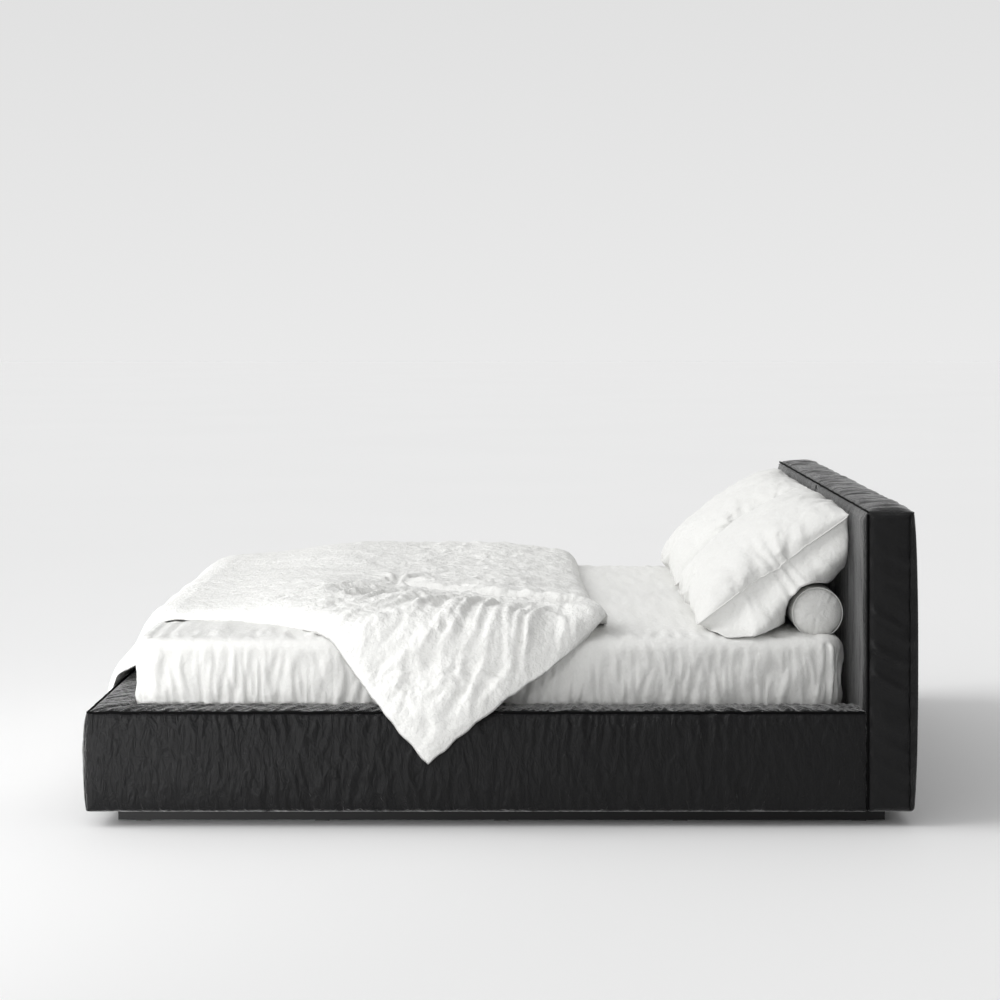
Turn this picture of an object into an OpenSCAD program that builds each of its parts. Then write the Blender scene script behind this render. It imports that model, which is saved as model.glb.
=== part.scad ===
// Low padded platform bed: slip-covered rails and headboard on a recessed plinth,
// slatted base, mattress with a fitted sheet, duvet, bolster and two pillows.
// Millimetres. +X runs from foot to head, -Y is the side with the hanging duvet corner, +Z is up.

/* [Overall size] */
// outside width over the side rail covers
bed_w = 2040; // [1640:20:2240]
// outer face of the foot rail cover, measured from the origin
foot_x = 1140; // [1100:5:1200]
// front face of the headboard cover
head_x = 1012; // [1000:1:1060]
// thickness of the headboard over its cover
head_t = 130; // [90:5:180]
// top of the headboard
head_z = 870; // [700:10:1100]
// top of the rails
rail_z = 316; // [250:2:380]

/* [Rails] */
// thickness of a side rail over its cover
side_t = 118; // [80:2:160]
// thickness of the foot rail over its cover
foot_t = 100; // [80:2:160]
// thickness of the rail boards
board_t = 30; // [18:2:40]
// thickness of the slip-cover cloth with its backing
cover_t = 4; // [2:0.5:6]
// top of the rail boards
board_z = 290; // [200:5:300]

/* [Plinth] */
// height of the plinth with its glides
plinth_h = 40; // [20:5:100]
// how far the plinth stands back from the covers
plinth_in = 70; // [20:5:120]
// thickness of the plinth boards
plinth_t = 18; // [12:1:30]
// thickness of the glides
glide_t = 3; // [2:0.5:6]

/* [Slatted base] */
// number of slats on each side
slat_n = 14; // [8:1:20]
// width of one slat
slat_w = 70; // [40:5:100]
// thickness of a slat
slat_t = 18; // [10:1:24]
// top of the slats
slat_z = 270; // [200:5:300]

/* [Mattress] */
// length of the dressed mattress
mat_l = 2000; // [1900:10:2200]
// width of the dressed mattress
mat_w = 1794; // [1400:2:2000]
// top of the fitted sheet
mat_z = 503; // [420:1:560]
// radius of the upright corners of the mattress
mat_r = 70; // [30:5:120]
// radius of the long edges of the mattress
edge_r = 34; // [10:2:60]

/* [Bedding] */
// diameter of the bolster
bolster_d = 150; // [120:5:220]
// length of the bolster
bolster_l = 1680; // [900:50:1800]
// length of a pillow up its slope
pillow_l = 534; // [450:2:600]
// width of a pillow across the bed
pillow_w = 750; // [600:10:900]
// bulge of a pillow above its seam
pillow_up = 105; // [40:5:140]
// bulge of a pillow below its seam
pillow_dn = 80; // [40:5:120]
// slope of the pillows in degrees
pillow_tilt = 36.2; // [20:0.2:60]
// height of the duvet's upper face
duvet_z = 595; // [540:5:640]

/* [Hidden] */
$fn = 64;
hw = bed_w / 2;
in_y = hw - side_t;
in_x = foot_x - foot_t;
back_x = head_x + head_t;
mat_x0 = -in_x + 4;
mat_x1 = mat_x0 + mat_l;
ply_y = hw - plinth_in;
ply_x0 = -foot_x + plinth_in;
ply_x1 = back_x - plinth_in;
beam_w = 40;
beam_z = slat_z - slat_t - 2;
beam_h = 80;
ledge_w = 30;
ledge_h = 40;
slat_x0 = -960;
slat_x1 = 930;
slat_pitch = (slat_x1 - slat_x0 - slat_w) / (slat_n - 1);
brk_l = 80;
brk_t = 5;
brk_z0 = 90;
brk_z1 = 190;
bolt_r = 4;
hole_r = 4.2;
ledge_bolt_x = [-880, -440, 0, 440, 880];
brk_bolt_z = [115, 165];
post_y = 855;
leg_x = [-600, 0, 600];
bolster_x = 897;
bolster_z = mat_z + bolster_d / 2 + 0.6;
pillow_c = [776.5, 689];
pillow_y = 445;

// a box from its two corners
module block(x0, x1, y0, y1, z0, z1)
  translate([x0, y0, z0]) cube([x1 - x0, y1 - y0, z1 - z0]);

// a polygon, points counter-clockwise, with every edge moved in by g
function inset(p, g) = [for (i = [0 : len(p) - 1])
  let (n = len(p), a = p[(i + n - 1) % n], b = p[i], c = p[(i + 1) % n],
       d1 = (b - a) / norm(b - a), d2 = (c - b) / norm(c - b),
       n1 = [-d1[1], d1[0]], n2 = [-d2[1], d2[0]])
  b + g * (n1 + n2) / (1 + n1 * n2)];

// a prism along Z, along Y (profile in X and Z) and along X (profile in Y and Z)
module prism_z(p, z0, z1) translate([0, 0, z0]) linear_extrude(z1 - z0) polygon(p);
module prism_y(p, y0, y1)
  translate([0, y1, 0]) rotate([90, 0, 0]) linear_extrude(y1 - y0) polygon(p);
module prism_x(p, x0, x1)
  translate([x0, 0, 0]) rotate([90, 0, 90]) linear_extrude(x1 - x0) polygon(p);

// a flat rectangle with round corners
module round_rect(a, b, c, d, r) {
  translate([a + r, c]) square([b - a - 2 * r, d - c]);
  translate([a, c + r]) square([b - a, d - c - 2 * r]);
  for (x = [a + r, b - r], y = [c + r, d - r]) translate([x, y]) circle(r);
}

// a block with round upright corners and round long edges
module soft_block(x0, x1, y0, y1, z0, z1, rv, re) {
  intersection() {
    translate([0, 0, z0]) linear_extrude(z1 - z0) round_rect(x0, x1, y0, y1, rv);
    translate([0, y1, 0]) rotate([90, 0, 0]) linear_extrude(y1 - y0)
      round_rect(x0, x1, z0, z1, re);
    translate([x0, 0, 0]) rotate([90, 0, 90]) linear_extrude(x1 - x0)
      round_rect(y0, y1, z0, z1, re);
  }
}

// cylinders along X, Y and Z
module rod_x(x0, x1, y, z, r) translate([x0, y, z]) rotate([0, 90, 0]) cylinder(h = x1 - x0, r = r);
module rod_y(x, y0, y1, z, r) translate([x, y1, z]) rotate([90, 0, 0]) cylinder(h = y1 - y0, r = r);

// the far side is the near side mirrored
module far_side() mirror([0, 1, 0]) children();
module both_sides() {
  children();
  mirror([0, 1, 0]) children();
}

// --- plinth ---
module floor_glides() {
  color("dimgray")
    both_sides() for (x = [-1000, -500, 0, 500, 1000])
      block(x - 20, x + 20, -ply_y + 1, -ply_y + plinth_t - 1, 0, glide_t);
}

module plinth_near() {
  color("black") block(ply_x0, ply_x1, -ply_y, -ply_y + plinth_t, glide_t, plinth_h);
}

module plinth_far() {
  color("black") far_side() block(ply_x0, ply_x1, -ply_y, -ply_y + plinth_t, glide_t, plinth_h);
}

module plinth_foot() {
  color("black") block(ply_x0, ply_x0 + plinth_t, -ply_y + plinth_t, ply_y - plinth_t,
                       glide_t, plinth_h);
}

module plinth_head() {
  color("black") block(ply_x1 - plinth_t, ply_x1, -ply_y + plinth_t, ply_y - plinth_t,
                       glide_t, plinth_h);
}

module plinth_blocks() {
  color("tan") both_sides() {
    block(ply_x0 + plinth_t, ply_x0 + plinth_t + 36, -ply_y + plinth_t, -ply_y + plinth_t + 36,
          glide_t, plinth_h);
    block(ply_x1 - plinth_t - 36, ply_x1 - plinth_t, -ply_y + plinth_t, -ply_y + plinth_t + 36,
          glide_t, plinth_h);
  }
}

// --- rails ---
side_plan = [[-foot_x, -hw], [head_x, -hw], [head_x, -in_y], [-in_x, -in_y]];
foot_plan = [[-foot_x, -hw], [-in_x, -in_y], [-in_x, in_y], [-foot_x, hw]];

// bolt holes through the near rail from its inner face
module side_holes() {
  for (x = ledge_bolt_x) rod_y(x, -in_y - board_t - cover_t - 1, -in_y + ledge_w + 1, 230, hole_r);
  for (x = [-in_x + 45, head_x - 45], z = brk_bolt_z)
    rod_y(x, -in_y - board_t - cover_t - 1, -in_y + brk_t + 1, z, hole_r);
}

// bolt holes through the foot rail from its inner face
module foot_holes() {
  for (y = [-in_y + 45, in_y - 45], z = brk_bolt_z)
    rod_x(-in_x - board_t - cover_t - 1, -in_x + brk_t + 1, y, z, hole_r);
}

module side_board() {
  difference() {
    block(-in_x + 4, head_x - cover_t, -in_y - cover_t - board_t, -in_y - cover_t,
          plinth_h + cover_t, board_z);
    side_holes();
  }
}

module side_foam() {
  difference() {
    prism_z(inset(side_plan, cover_t), plinth_h + cover_t, rail_z - cover_t);
    block(-in_x + 4, head_x - cover_t, -in_y - cover_t - board_t, -in_y - cover_t,
          plinth_h, board_z);
  }
}

module side_cover() {
  difference() {
    prism_z(side_plan, plinth_h, rail_z);
    prism_z(inset(side_plan, cover_t), plinth_h + cover_t, rail_z - cover_t);
    side_holes();
  }
}

module foot_board_block(z0)
  block(-in_x - cover_t - board_t, -in_x - cover_t, -in_y + 2, in_y - 2, z0, board_z);

module rail_board_near() { color("burlywood") side_board(); }
module rail_board_far() { color("burlywood") far_side() side_board(); }
module rail_board_foot() {
  color("burlywood") difference() {
    foot_board_block(plinth_h + cover_t);
    foot_holes();
  }
}

module rail_foam_near() { color("khaki") side_foam(); }
module rail_foam_far() { color("khaki") far_side() side_foam(); }
module rail_foam_foot() {
  color("khaki") difference() {
    prism_z(inset(foot_plan, cover_t), plinth_h + cover_t, rail_z - cover_t);
    foot_board_block(plinth_h);
  }
}

module rail_cover_near() { color([0.17, 0.17, 0.18]) side_cover(); }
module rail_cover_far() { color([0.17, 0.17, 0.18]) far_side() side_cover(); }
module rail_cover_foot() {
  color([0.17, 0.17, 0.18]) difference() {
    prism_z(foot_plan, plinth_h, rail_z);
    prism_z(inset(foot_plan, cover_t), plinth_h + cover_t, rail_z - cover_t);
    foot_holes();
  }
}

module rail_welts() {
  color("black") {
    both_sides() block(-foot_x, head_x, -hw - 3, -hw, rail_z - 7, rail_z + 1);
    block(-foot_x - 3, -foot_x, -hw - 3, hw + 3, rail_z - 7, rail_z + 1);
  }
}

// --- headboard ---
f0 = head_x + cover_t;
f1 = f0 + 30;
f2 = f1 + 9;
f3 = f2 + 45;
f4 = f3 + 6;
f5 = back_x - cover_t;
fr_y = hw - 35;
fr_z = head_z - 35;
h_z0 = plinth_h + cover_t;

module headboard_holes() {
  both_sides() for (z = brk_bolt_z) rod_x(head_x - brk_t - 1, f2 + 41, -in_y + 45, z, hole_r);
}

module headboard_uprights() {
  color("burlywood") difference() {
    union() {
      both_sides() {
        block(f2, f3, -fr_y, -fr_y + 60, h_z0, fr_z);
        block(f2, f3, -in_y + 5, -in_y + 85, h_z0, fr_z);
      }
      block(f2, f3, -30, 30, h_z0, fr_z);
    }
    headboard_holes();
  }
}

module headboard_crossbars() {
  color("burlywood") for (z = [h_z0, 300, fr_z - 60]) both_sides() {
    block(f2, f3, -in_y + 85, -30, z, z + 60);
    block(f2, f3, -fr_y + 60, -in_y + 5, z, z + 60);
  }
}

module headboard_front_panel() {
  color("wheat") difference() {
    block(f1, f2, -fr_y, fr_y, h_z0, fr_z);
    headboard_holes();
  }
}

module headboard_back_panel() {
  color("wheat") block(f3, f4, -fr_y, fr_y, h_z0, fr_z);
}

module headboard_front_foam() {
  color("khaki") difference() {
    block(f0, f1, -hw + cover_t, hw - cover_t, h_z0, head_z - cover_t);
    headboard_holes();
  }
}

module headboard_back_foam() {
  color("khaki") block(f4, f5, -hw + cover_t, hw - cover_t, h_z0, head_z - cover_t);
}

module headboard_edge_foam() {
  color("khaki") {
    both_sides() block(f1, f4, -hw + cover_t, -fr_y, h_z0, fr_z);
    block(f1, f4, -hw + cover_t, hw - cover_t, fr_z, head_z - cover_t);
  }
}

module headboard_cover() {
  color([0.15, 0.15, 0.16]) difference() {
    block(head_x, back_x, -hw, hw, plinth_h, head_z);
    block(f0, f5, -hw + cover_t, hw - cover_t, h_z0, head_z - cover_t);
    headboard_holes();
  }
}

module headboard_welts() {
  color("black") {
    both_sides() block(head_x, head_x + 8, -hw - 3, -hw, rail_z + 2, head_z);
    block(head_x, head_x + 8, -hw - 3, hw + 3, head_z, head_z + 3);
  }
}

// --- slatted base ---
module slat_ledge() {
  difference() {
    block(-in_x + 6, head_x - 6, -in_y, -in_y + ledge_w, beam_z - ledge_h, beam_z);
    side_holes();
  }
}

module slat_ledge_near() { color("burlywood") slat_ledge(); }
module slat_ledge_far() { color("burlywood") far_side() slat_ledge(); }

module centre_beam() {
  color("burlywood")
    block(-in_x + 5, head_x - 5, -beam_w / 2, beam_w / 2, beam_z - beam_h, beam_z);
}

// a steel stirrup that holds one end of the beam; x is the face it is fixed to
module hanger(x, s) {
  translate([x, 0, 0]) mirror([s < 0 ? 1 : 0, 0, 0]) {
    block(0, 4, -48, 48, beam_z - beam_h - 4, beam_z - 6);
    block(4, 64, -25, 25, beam_z - beam_h - 4, beam_z - beam_h);
    for (y = [-25, 21]) block(4, 64, y, y + 4, beam_z - beam_h, beam_z - 20);
  }
}

module beam_hangers() {
  color("silver") {
    hanger(-in_x, 1);
    hanger(head_x, -1);
  }
}

module centre_legs() {
  color("dimgray") for (x = leg_x) {
    difference() {
      translate([x, 0, 8]) cylinder(h = beam_z - beam_h - 12, r = 20);
      translate([x, 0, 0]) cylinder(h = beam_z - beam_h - 12, r = 18);
    }
    block(x - 40, x + 40, -20, 20, beam_z - beam_h - 4, beam_z - beam_h);
  }
}

module leg_feet() {
  color([0.1, 0.1, 0.1]) for (x = leg_x) {
    translate([x, 0, 0]) cylinder(h = 8, r = 24);
    translate([x, 0, 8]) cylinder(h = 14, r = 17.9);
  }
}

// one angle bracket in the near foot corner
module foot_bracket() {
  difference() {
    union() {
      block(-in_x, -in_x + brk_l, -in_y, -in_y + brk_t, brk_z0, brk_z1);
      block(-in_x, -in_x + brk_t, -in_y, -in_y + brk_l, brk_z0, brk_z1);
    }
    side_holes();
    foot_holes();
  }
}

// one angle bracket in the near headboard corner
module head_bracket() {
  difference() {
    union() {
      block(head_x - brk_l, head_x, -in_y, -in_y + brk_t, brk_z0, brk_z1);
      block(head_x - brk_t, head_x, -in_y, -in_y + brk_l, brk_z0, brk_z1);
    }
    side_holes();
    headboard_holes();
  }
}

module corner_brackets() {
  color("silver") both_sides() {
    foot_bracket();
    head_bracket();
  }
}

module ledge_bolts() {
  color("silver") both_sides() for (x = ledge_bolt_x) {
    rod_y(x, -in_y + ledge_w, -in_y + ledge_w + 5, 230, 8);
    rod_y(x, -in_y - 32, -in_y + ledge_w, 230, bolt_r);
  }
}

module corner_bolts() {
  color("silver") both_sides() for (z = brk_bolt_z) {
    for (x = [-in_x + 45, head_x - 45]) {
      rod_y(x, -in_y + brk_t, -in_y + brk_t + 5, z, 8);
      rod_y(x, -in_y - 32, -in_y + brk_t, z, bolt_r);
    }
    rod_x(-in_x + brk_t, -in_x + brk_t + 5, -in_y + 45, z, 8);
    rod_x(-in_x - 32, -in_x + brk_t, -in_y + 45, z, bolt_r);
  }
}

module headboard_bolts() {
  color("silver") both_sides() for (z = brk_bolt_z) {
    rod_x(head_x - brk_t - 5, head_x - brk_t, -in_y + 45, z, 8);
    rod_x(head_x - brk_t, f2 + 40, -in_y + 45, z, bolt_r);
  }
}

module slat_row() {
  for (i = [0 : slat_n - 1])
    block(slat_x0 + i * slat_pitch, slat_x0 + i * slat_pitch + slat_w, -in_y + 3, -2,
          slat_z - slat_t, slat_z);
}

module slats_near() { color("wheat") slat_row(); }
module slats_far() { color("wheat") far_side() slat_row(); }

module slat_webbing() {
  color("ivory") both_sides() {
    block(slat_x0, slat_x1, -in_y + 3, -in_y + 28, beam_z, beam_z + 2);
    block(slat_x0, slat_x1, -18, -3, beam_z, beam_z + 2);
  }
}

// --- mattress ---
m_z0 = slat_z + 0.4;
tick = 3;

module mattress_body(g)
  soft_block(mat_x0 + g, mat_x1 - g, -mat_w / 2 + g, mat_w / 2 - g, m_z0 + max(0, g - tick),
             mat_z - g, mat_r - g, edge_r - g);

module mattress_core() {
  color("khaki") intersection() {
    mattress_body(tick + 6);
    block(-1200, 1200, -1000, 1000, 200, 440);
  }
}

module comfort_layer() {
  color("lightyellow") intersection() {
    mattress_body(tick + 6);
    block(-1200, 1200, -1000, 1000, 440, 600);
  }
}

module mattress_ticking() {
  color("white") difference() {
    mattress_body(tick);
    mattress_body(tick + 6);
  }
}

module fitted_sheet() {
  color("white") difference() {
    mattress_body(0);
    mattress_body(tick);
    block(-1200, 1200, -1000, 1000, 200, slat_z + 20);
  }
}

// --- duvet ---
d_lo = mat_z + 2;
top_plan = [[-1046, -560], [-960, -575], [-610, -730], [-480, -906], [262, -906], [300, -770],
            [233, 906], [-1046, 906]];
near_cut = [[-480, 640], [-480, 500], [-200, 180], [-70, 316], [110, 430], [262, 520],
            [262, 640]];
near_drop = [[-860, d_lo], [-860, duvet_z], [-916, duvet_z - 6], [-1064, 340], [-1064, 120],
             [-1032, 120], [-1030, 322], [-900.5, d_lo]];
foot_cut = [[-560, 640], [-560, 236], [906, 214], [906, 640]];
foot_drop = [[-1000, d_lo], [-1000, duvet_z], [-1066, duvet_z - 8], [-1206, 345], [-1206, 120],
             [-1172, 120], [-1150, 322], [-1040.5, d_lo]];
far_cut = [[-1046, 640], [-1046, 322], [233, 322], [233, 640]];
far_drop = [[860, d_lo], [900.5, d_lo], [1004, 344], [1010, 200], [1048, 200], [1044, 350],
            [920, duvet_z - 6], [860, duvet_z]];

module duvet_body(g) {
  prism_z(inset(top_plan, g), d_lo + g, duvet_z - g);
  intersection() {
    prism_x(inset(near_drop, g), -600, 400);
    prism_y(inset(near_cut, g), -1100, -800);
  }
  intersection() {
    prism_y(inset(foot_drop, g), -700, 1100);
    prism_x(inset(foot_cut, g), -1300, -900);
  }
  intersection() {
    prism_x(inset(far_drop, g), -1100, 400);
    prism_y(inset(far_cut, g), 700, 1100);
  }
}

module duvet_filling() { color("white") duvet_body(4); }

module duvet_cover() {
  color("white") difference() {
    duvet_body(0);
    duvet_body(4);
  }
}

// --- bolster ---
module bolster_body(g) {
  r = bolster_d / 2 - g;
  l = bolster_l - 2 * g;
  e = 22 - g;
  translate([bolster_x, l / 2, bolster_z]) rotate([90, 0, 0]) rotate_extrude() {
    square([r - e, l]);
    translate([0, e]) square([r, l - 2 * e]);
    translate([r - e, e]) circle(e);
    translate([r - e, l - e]) circle(e);
  }
}

module bolster_core() { color("white") bolster_body(3); }
module bolster_cover() {
  color("white") difference() {
    bolster_body(0);
    bolster_body(3);
  }
}

// --- pillows ---
// the side view of a cushion: it bulges by up and dn and thins out to its seam
module lens(a, up, dn) {
  n = 6;
  polygon(concat(
    [for (i = [-n : n]) let (x = i / n) [a * x, -2.5 - (dn - 2.5) * (1 - x * x)]],
    [for (i = [n : -1 : -n]) let (x = i / n) [a * x, 2.5 + (up - 2.5) * (1 - x * x)]]));
}

module pillow_body(g) {
  translate([pillow_c[0], 0, pillow_c[1]]) rotate([0, -pillow_tilt, 0]) intersection() {
    translate([0, pillow_w / 2, 0]) rotate([90, 0, 0]) linear_extrude(pillow_w)
      lens(pillow_l / 2 - 9 * g, pillow_up - g, pillow_dn - g);
    translate([-pillow_l / 2, 0, 0]) rotate([90, 0, 90]) linear_extrude(pillow_l)
      lens(pillow_w / 2 - 12 * g, pillow_up - g, pillow_dn - g);
  }
}

module pillowcase() {
  difference() {
    pillow_body(0);
    pillow_body(3);
  }
}

module pillow_filling_near() { color("white") translate([0, -pillow_y, 0]) pillow_body(3); }
module pillowcase_near() { color("white") translate([0, -pillow_y, 0]) pillowcase(); }
module pillow_filling_far() { color("white") translate([0, pillow_y, 0]) pillow_body(3); }
module pillowcase_far() { color("white") translate([0, pillow_y, 0]) pillowcase(); }

floor_glides();
plinth_near();
plinth_far();
plinth_foot();
plinth_head();
plinth_blocks();
rail_board_near();
rail_board_far();
rail_board_foot();
rail_foam_near();
rail_foam_far();
rail_foam_foot();
rail_cover_near();
rail_cover_far();
rail_cover_foot();
rail_welts();
headboard_uprights();
headboard_crossbars();
headboard_front_panel();
headboard_back_panel();
headboard_front_foam();
headboard_back_foam();
headboard_edge_foam();
headboard_cover();
headboard_welts();
slat_ledge_near();
slat_ledge_far();
centre_beam();
beam_hangers();
centre_legs();
leg_feet();
corner_brackets();
ledge_bolts();
corner_bolts();
headboard_bolts();
slats_near();
slats_far();
slat_webbing();
mattress_core();
comfort_layer();
mattress_ticking();
fitted_sheet();
duvet_filling();
duvet_cover();
bolster_core();
bolster_cover();
pillow_filling_near();
pillowcase_near();
pillow_filling_far();
pillowcase_far();
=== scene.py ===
import math
import bpy
import numpy as np
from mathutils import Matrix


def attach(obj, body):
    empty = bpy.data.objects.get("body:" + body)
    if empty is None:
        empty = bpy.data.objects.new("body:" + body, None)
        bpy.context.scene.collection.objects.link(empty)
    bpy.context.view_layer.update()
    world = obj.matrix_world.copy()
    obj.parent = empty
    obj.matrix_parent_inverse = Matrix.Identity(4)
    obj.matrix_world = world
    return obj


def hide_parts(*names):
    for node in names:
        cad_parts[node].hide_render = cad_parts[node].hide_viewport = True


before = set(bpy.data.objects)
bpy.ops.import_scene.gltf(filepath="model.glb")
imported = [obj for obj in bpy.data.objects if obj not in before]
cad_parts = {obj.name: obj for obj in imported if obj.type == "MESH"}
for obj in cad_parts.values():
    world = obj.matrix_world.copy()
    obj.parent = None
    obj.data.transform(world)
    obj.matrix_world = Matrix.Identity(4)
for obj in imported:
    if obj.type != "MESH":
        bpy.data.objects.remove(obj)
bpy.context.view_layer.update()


# ---- viewpoint
# The bed is seen square on to its long side from about six metres, through a long lens,
# with the camera level and the view shifted down so that uprights stay upright.
eye = bpy.data.cameras.new("eye")
eye.lens = 77.7
eye.sensor_width = 36.0
eye.shift_x = -0.022
eye.shift_y = -0.184
eye.clip_end = 200.0
eye_piece = bpy.data.objects.new("eye", eye)
eye_piece.location = (0.058, -6.98, 1.41)
eye_piece.rotation_euler = (math.radians(90.0), 0.0, 0.0)
bpy.context.scene.collection.objects.link(eye_piece)
bpy.context.scene.camera = eye_piece


# ---- studio
# A plain pale studio: matt painted floor, a broad low sun and a soft window on the foot side,
# a small strip low in front of the foot end, and pale surroundings brighter on the foot side.
def linear(code):
    """An sRGB hex colour as linear red, green, blue and alpha."""
    parts = [int(code[i:i + 2], 16) / 255.0 for i in (1, 3, 5)]
    return tuple(c / 12.92 if c <= 0.04045 else ((c + 0.055) / 1.055) ** 2.4
                 for c in parts) + (1.0,)


def add(mat, kind, inputs, **settings):
    """Adds a node; an input is a value, or a pair of a node and the name of its output."""
    made = mat.node_tree.nodes.new("ShaderNode" + kind)
    for key, value in settings.items():
        setattr(made, key, value)
    for key, value in inputs.items():
        if isinstance(value, tuple) and isinstance(value[0], bpy.types.Node):
            wire(mat, made, key, value)
        else:
            made.inputs[key].default_value = value
    return made


def wire(mat, shader, key, value):
    """Links an input of a node to a pair of a node and the name of its output."""
    mat.node_tree.links.new(value[0].outputs[value[1]], shader.inputs[key])


def finish_of(name, roughness, **sockets):
    """An empty material with its shader, returned with the shader to wire up."""
    mat = bpy.data.materials.new(name)
    mat.use_nodes = True
    mat.node_tree.nodes.clear()
    shader = add(mat, "BsdfPrincipled", {"Roughness": roughness})
    for key, value in sockets.items():
        shader.inputs[key.replace("_", " ")].default_value = value
    add(mat, "OutputMaterial", {"Surface": (shader, "BSDF")})
    return mat, shader


def texture(mat, kind, scale, vector=None, **inputs):
    """A noise or cell texture, over the object's own coordinates unless told otherwise."""
    vector = vector or (add(mat, "TexCoord", {}), "Object")
    inputs = {key.replace("_", " "): value for key, value in inputs.items()}
    return add(mat, "Tex" + kind, {"Vector": vector, "Scale": scale, **inputs})


def stretched(mat, scale):
    """The object's coordinates, scaled differently along each axis."""
    coord = add(mat, "TexCoord", {})
    return add(mat, "Mapping", {"Vector": (coord, "Object"), "Scale": scale}), "Vector"


def span_of(mat, value, lo, hi, out_lo=0.0, out_hi=1.0, kind="LINEAR"):
    """Maps a value from one range to another."""
    return add(mat, "MapRange", {"Value": value, "From Min": lo, "From Max": hi,
                                 "To Min": out_lo, "To Max": out_hi}, interpolation_type=kind)


def between(mat, share, first, second):
    """A colour that runs between two hex colours."""
    return add(mat, "Mix", {0: share, 6: linear(first), 7: linear(second)},
               data_type="RGBA"), "Result"


def bump(mat, height, strength, depth, under=None):
    """Relief from a height; depth is in metres and under is an earlier relief."""
    inputs = {"Height": height, "Strength": strength, "Distance": depth}
    return add(mat, "Bump", {**inputs, "Normal": under} if under else inputs), "Normal"


def coat(mat, shader, share, first, second, *relief):
    """Wires up a surface's colour, between two hex colours, and its relief if it has one."""
    wire(mat, shader, "Base Color", between(mat, share, first, second))
    if relief:
        wire(mat, shader, "Normal", bump(mat, *relief))


def sheet_of_points(name, points, faces):
    """A smooth mesh object from arrays of points and of four-cornered faces."""
    mesh = bpy.data.meshes.new(name)
    corners = [tuple(dict.fromkeys(f)) for f in faces.tolist()]
    mesh.from_pydata([tuple(p) for p in points.tolist()], [], corners)
    mesh.polygons.foreach_set("use_smooth", [True] * len(mesh.polygons))
    mesh.update()
    made = bpy.data.objects.new(name, mesh)
    bpy.context.scene.collection.objects.link(made)
    return made


def cloth_piece(name, points, faces, cloth, body, slot):
    """A piece of one cloth that rides on a body."""
    made = sheet_of_points(name, points, faces)
    made.data.materials.append(cloth)
    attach(made, body)
    return made


floor_half = 60
painted_floor, floor_shader = finish_of("matt_painted_floor", 0.9)
cloudy = texture(painted_floor, "Noise", 0.4)
coat(painted_floor, floor_shader, (cloudy, "Fac"), "#F4F4F4", "#F1F1F1")
floor_corners = [[x * floor_half, y * floor_half, 0]
                 for x, y in ((-1, -1), (1, -1), (1, 1), (-1, 1))]
floor = sheet_of_points("studio_floor", np.array(floor_corners, float), np.array([[0, 1, 2, 3]]))
floor.data.materials.append(painted_floor)


def lamp(name, kind, place, aim, power, **settings):
    """A lamp at one place, turned towards another."""
    light = bpy.data.lights.new(name, kind)
    light.energy = power
    for key, value in settings.items():
        setattr(light, key, value)
    holder = bpy.data.objects.new(name, light)
    holder.location = place
    away = np.array(place, float) - np.array(aim, float)
    away /= np.linalg.norm(away)
    holder.rotation_euler = (math.acos(away[2]), 0.0, math.atan2(away[1], away[0]) + math.pi / 2)
    bpy.context.scene.collection.objects.link(holder)


lamp("low_winter_sun", "SUN", (-4.0, -0.3, 3.1), (0.0, 0.0, 0.0), 1.34, angle=math.radians(34.0))
lamp("big_soft_window", "AREA", (-3.7, -0.9, 2.5), (-0.7, -0.2, 0.4), 13.0, shape="RECTANGLE",
     size=2.0, size_y=1.8)
lamp("low_front_strip", "AREA", (-2.9, -5.1, 0.6), (-1.5, -1.0, 0.36), 10.5, shape="RECTANGLE",
     size=1.0, size_y=0.7, spread=math.radians(46.0))

# What lights the bed is brighter towards the foot and behind; what is seen is an even pale grey.
surround = bpy.data.worlds.new("pale_surround")
bpy.context.scene.world = surround
surround.use_nodes = True
seen = surround.node_tree.nodes["Background"]
ray = (add(surround, "TexCoord", {}), "Generated")


def facing(direction):
    """How far a ray points in a direction."""
    return add(surround, "VectorMath", {0: ray, 1: direction}, operation="DOT_PRODUCT"), "Value"


glow = span_of(surround, facing((-0.68, -0.30, 0.66)), -0.30, 1.0, 0.31, 0.84, "SMOOTHSTEP")
backdrop = span_of(surround, facing((0.0, 1.0, -0.5)), 0.35, 0.95, 0.0, 0.75, "SMOOTHSTEP")
whole = add(surround, "Math", {0: (glow, "Result"), 1: (backdrop, "Result")}, operation="ADD")
gives = add(surround, "Background", {"Color": linear("#FFFFFF"), "Strength": (whole, "Value")})
height = add(surround, "SeparateXYZ", {"Vector": ray})
rise = span_of(surround, (height, "Z"), -0.02, 0.15)
wire(surround, seen, "Color", between(surround, (rise, "Result"), "#EAEAEA", "#E1E1E1"))
path_of = add(surround, "LightPath", {})
either = add(surround, "MixShader", {0: (path_of, "Is Camera Ray"), 1: (gives, "Background"),
                                     2: (seen, "Background")})
wire(surround, surround.node_tree.nodes["World Output"], "Surface", (either, "Shader"))
bpy.context.scene.view_settings.view_transform = "Standard"


# ---- plinth and glides
# The bed stands on a ring of plywood boards painted matt black, set back under the rails so
# that the padded frame seems to float; felt glides under it keep it off the floor.
def dress(mat, *names):
    """Gives CAD nodes their material."""
    for name in names:
        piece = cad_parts[name]
        piece.data.materials.clear()
        piece.data.materials.append(mat)


black_paint, shader = finish_of("black_brushed_paint", 0.62)
brush = texture(black_paint, "Noise", 3.0, stretched(black_paint, (4.0, 90.0, 90.0)), Detail=4.0)
coat(black_paint, shader, (brush, "Fac"), "#0B0B0C", "#161617", (brush, "Fac"), 0.15, 0.001)
dress(black_paint, "plinth_near", "plinth_far", "plinth_foot", "plinth_head")

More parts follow.
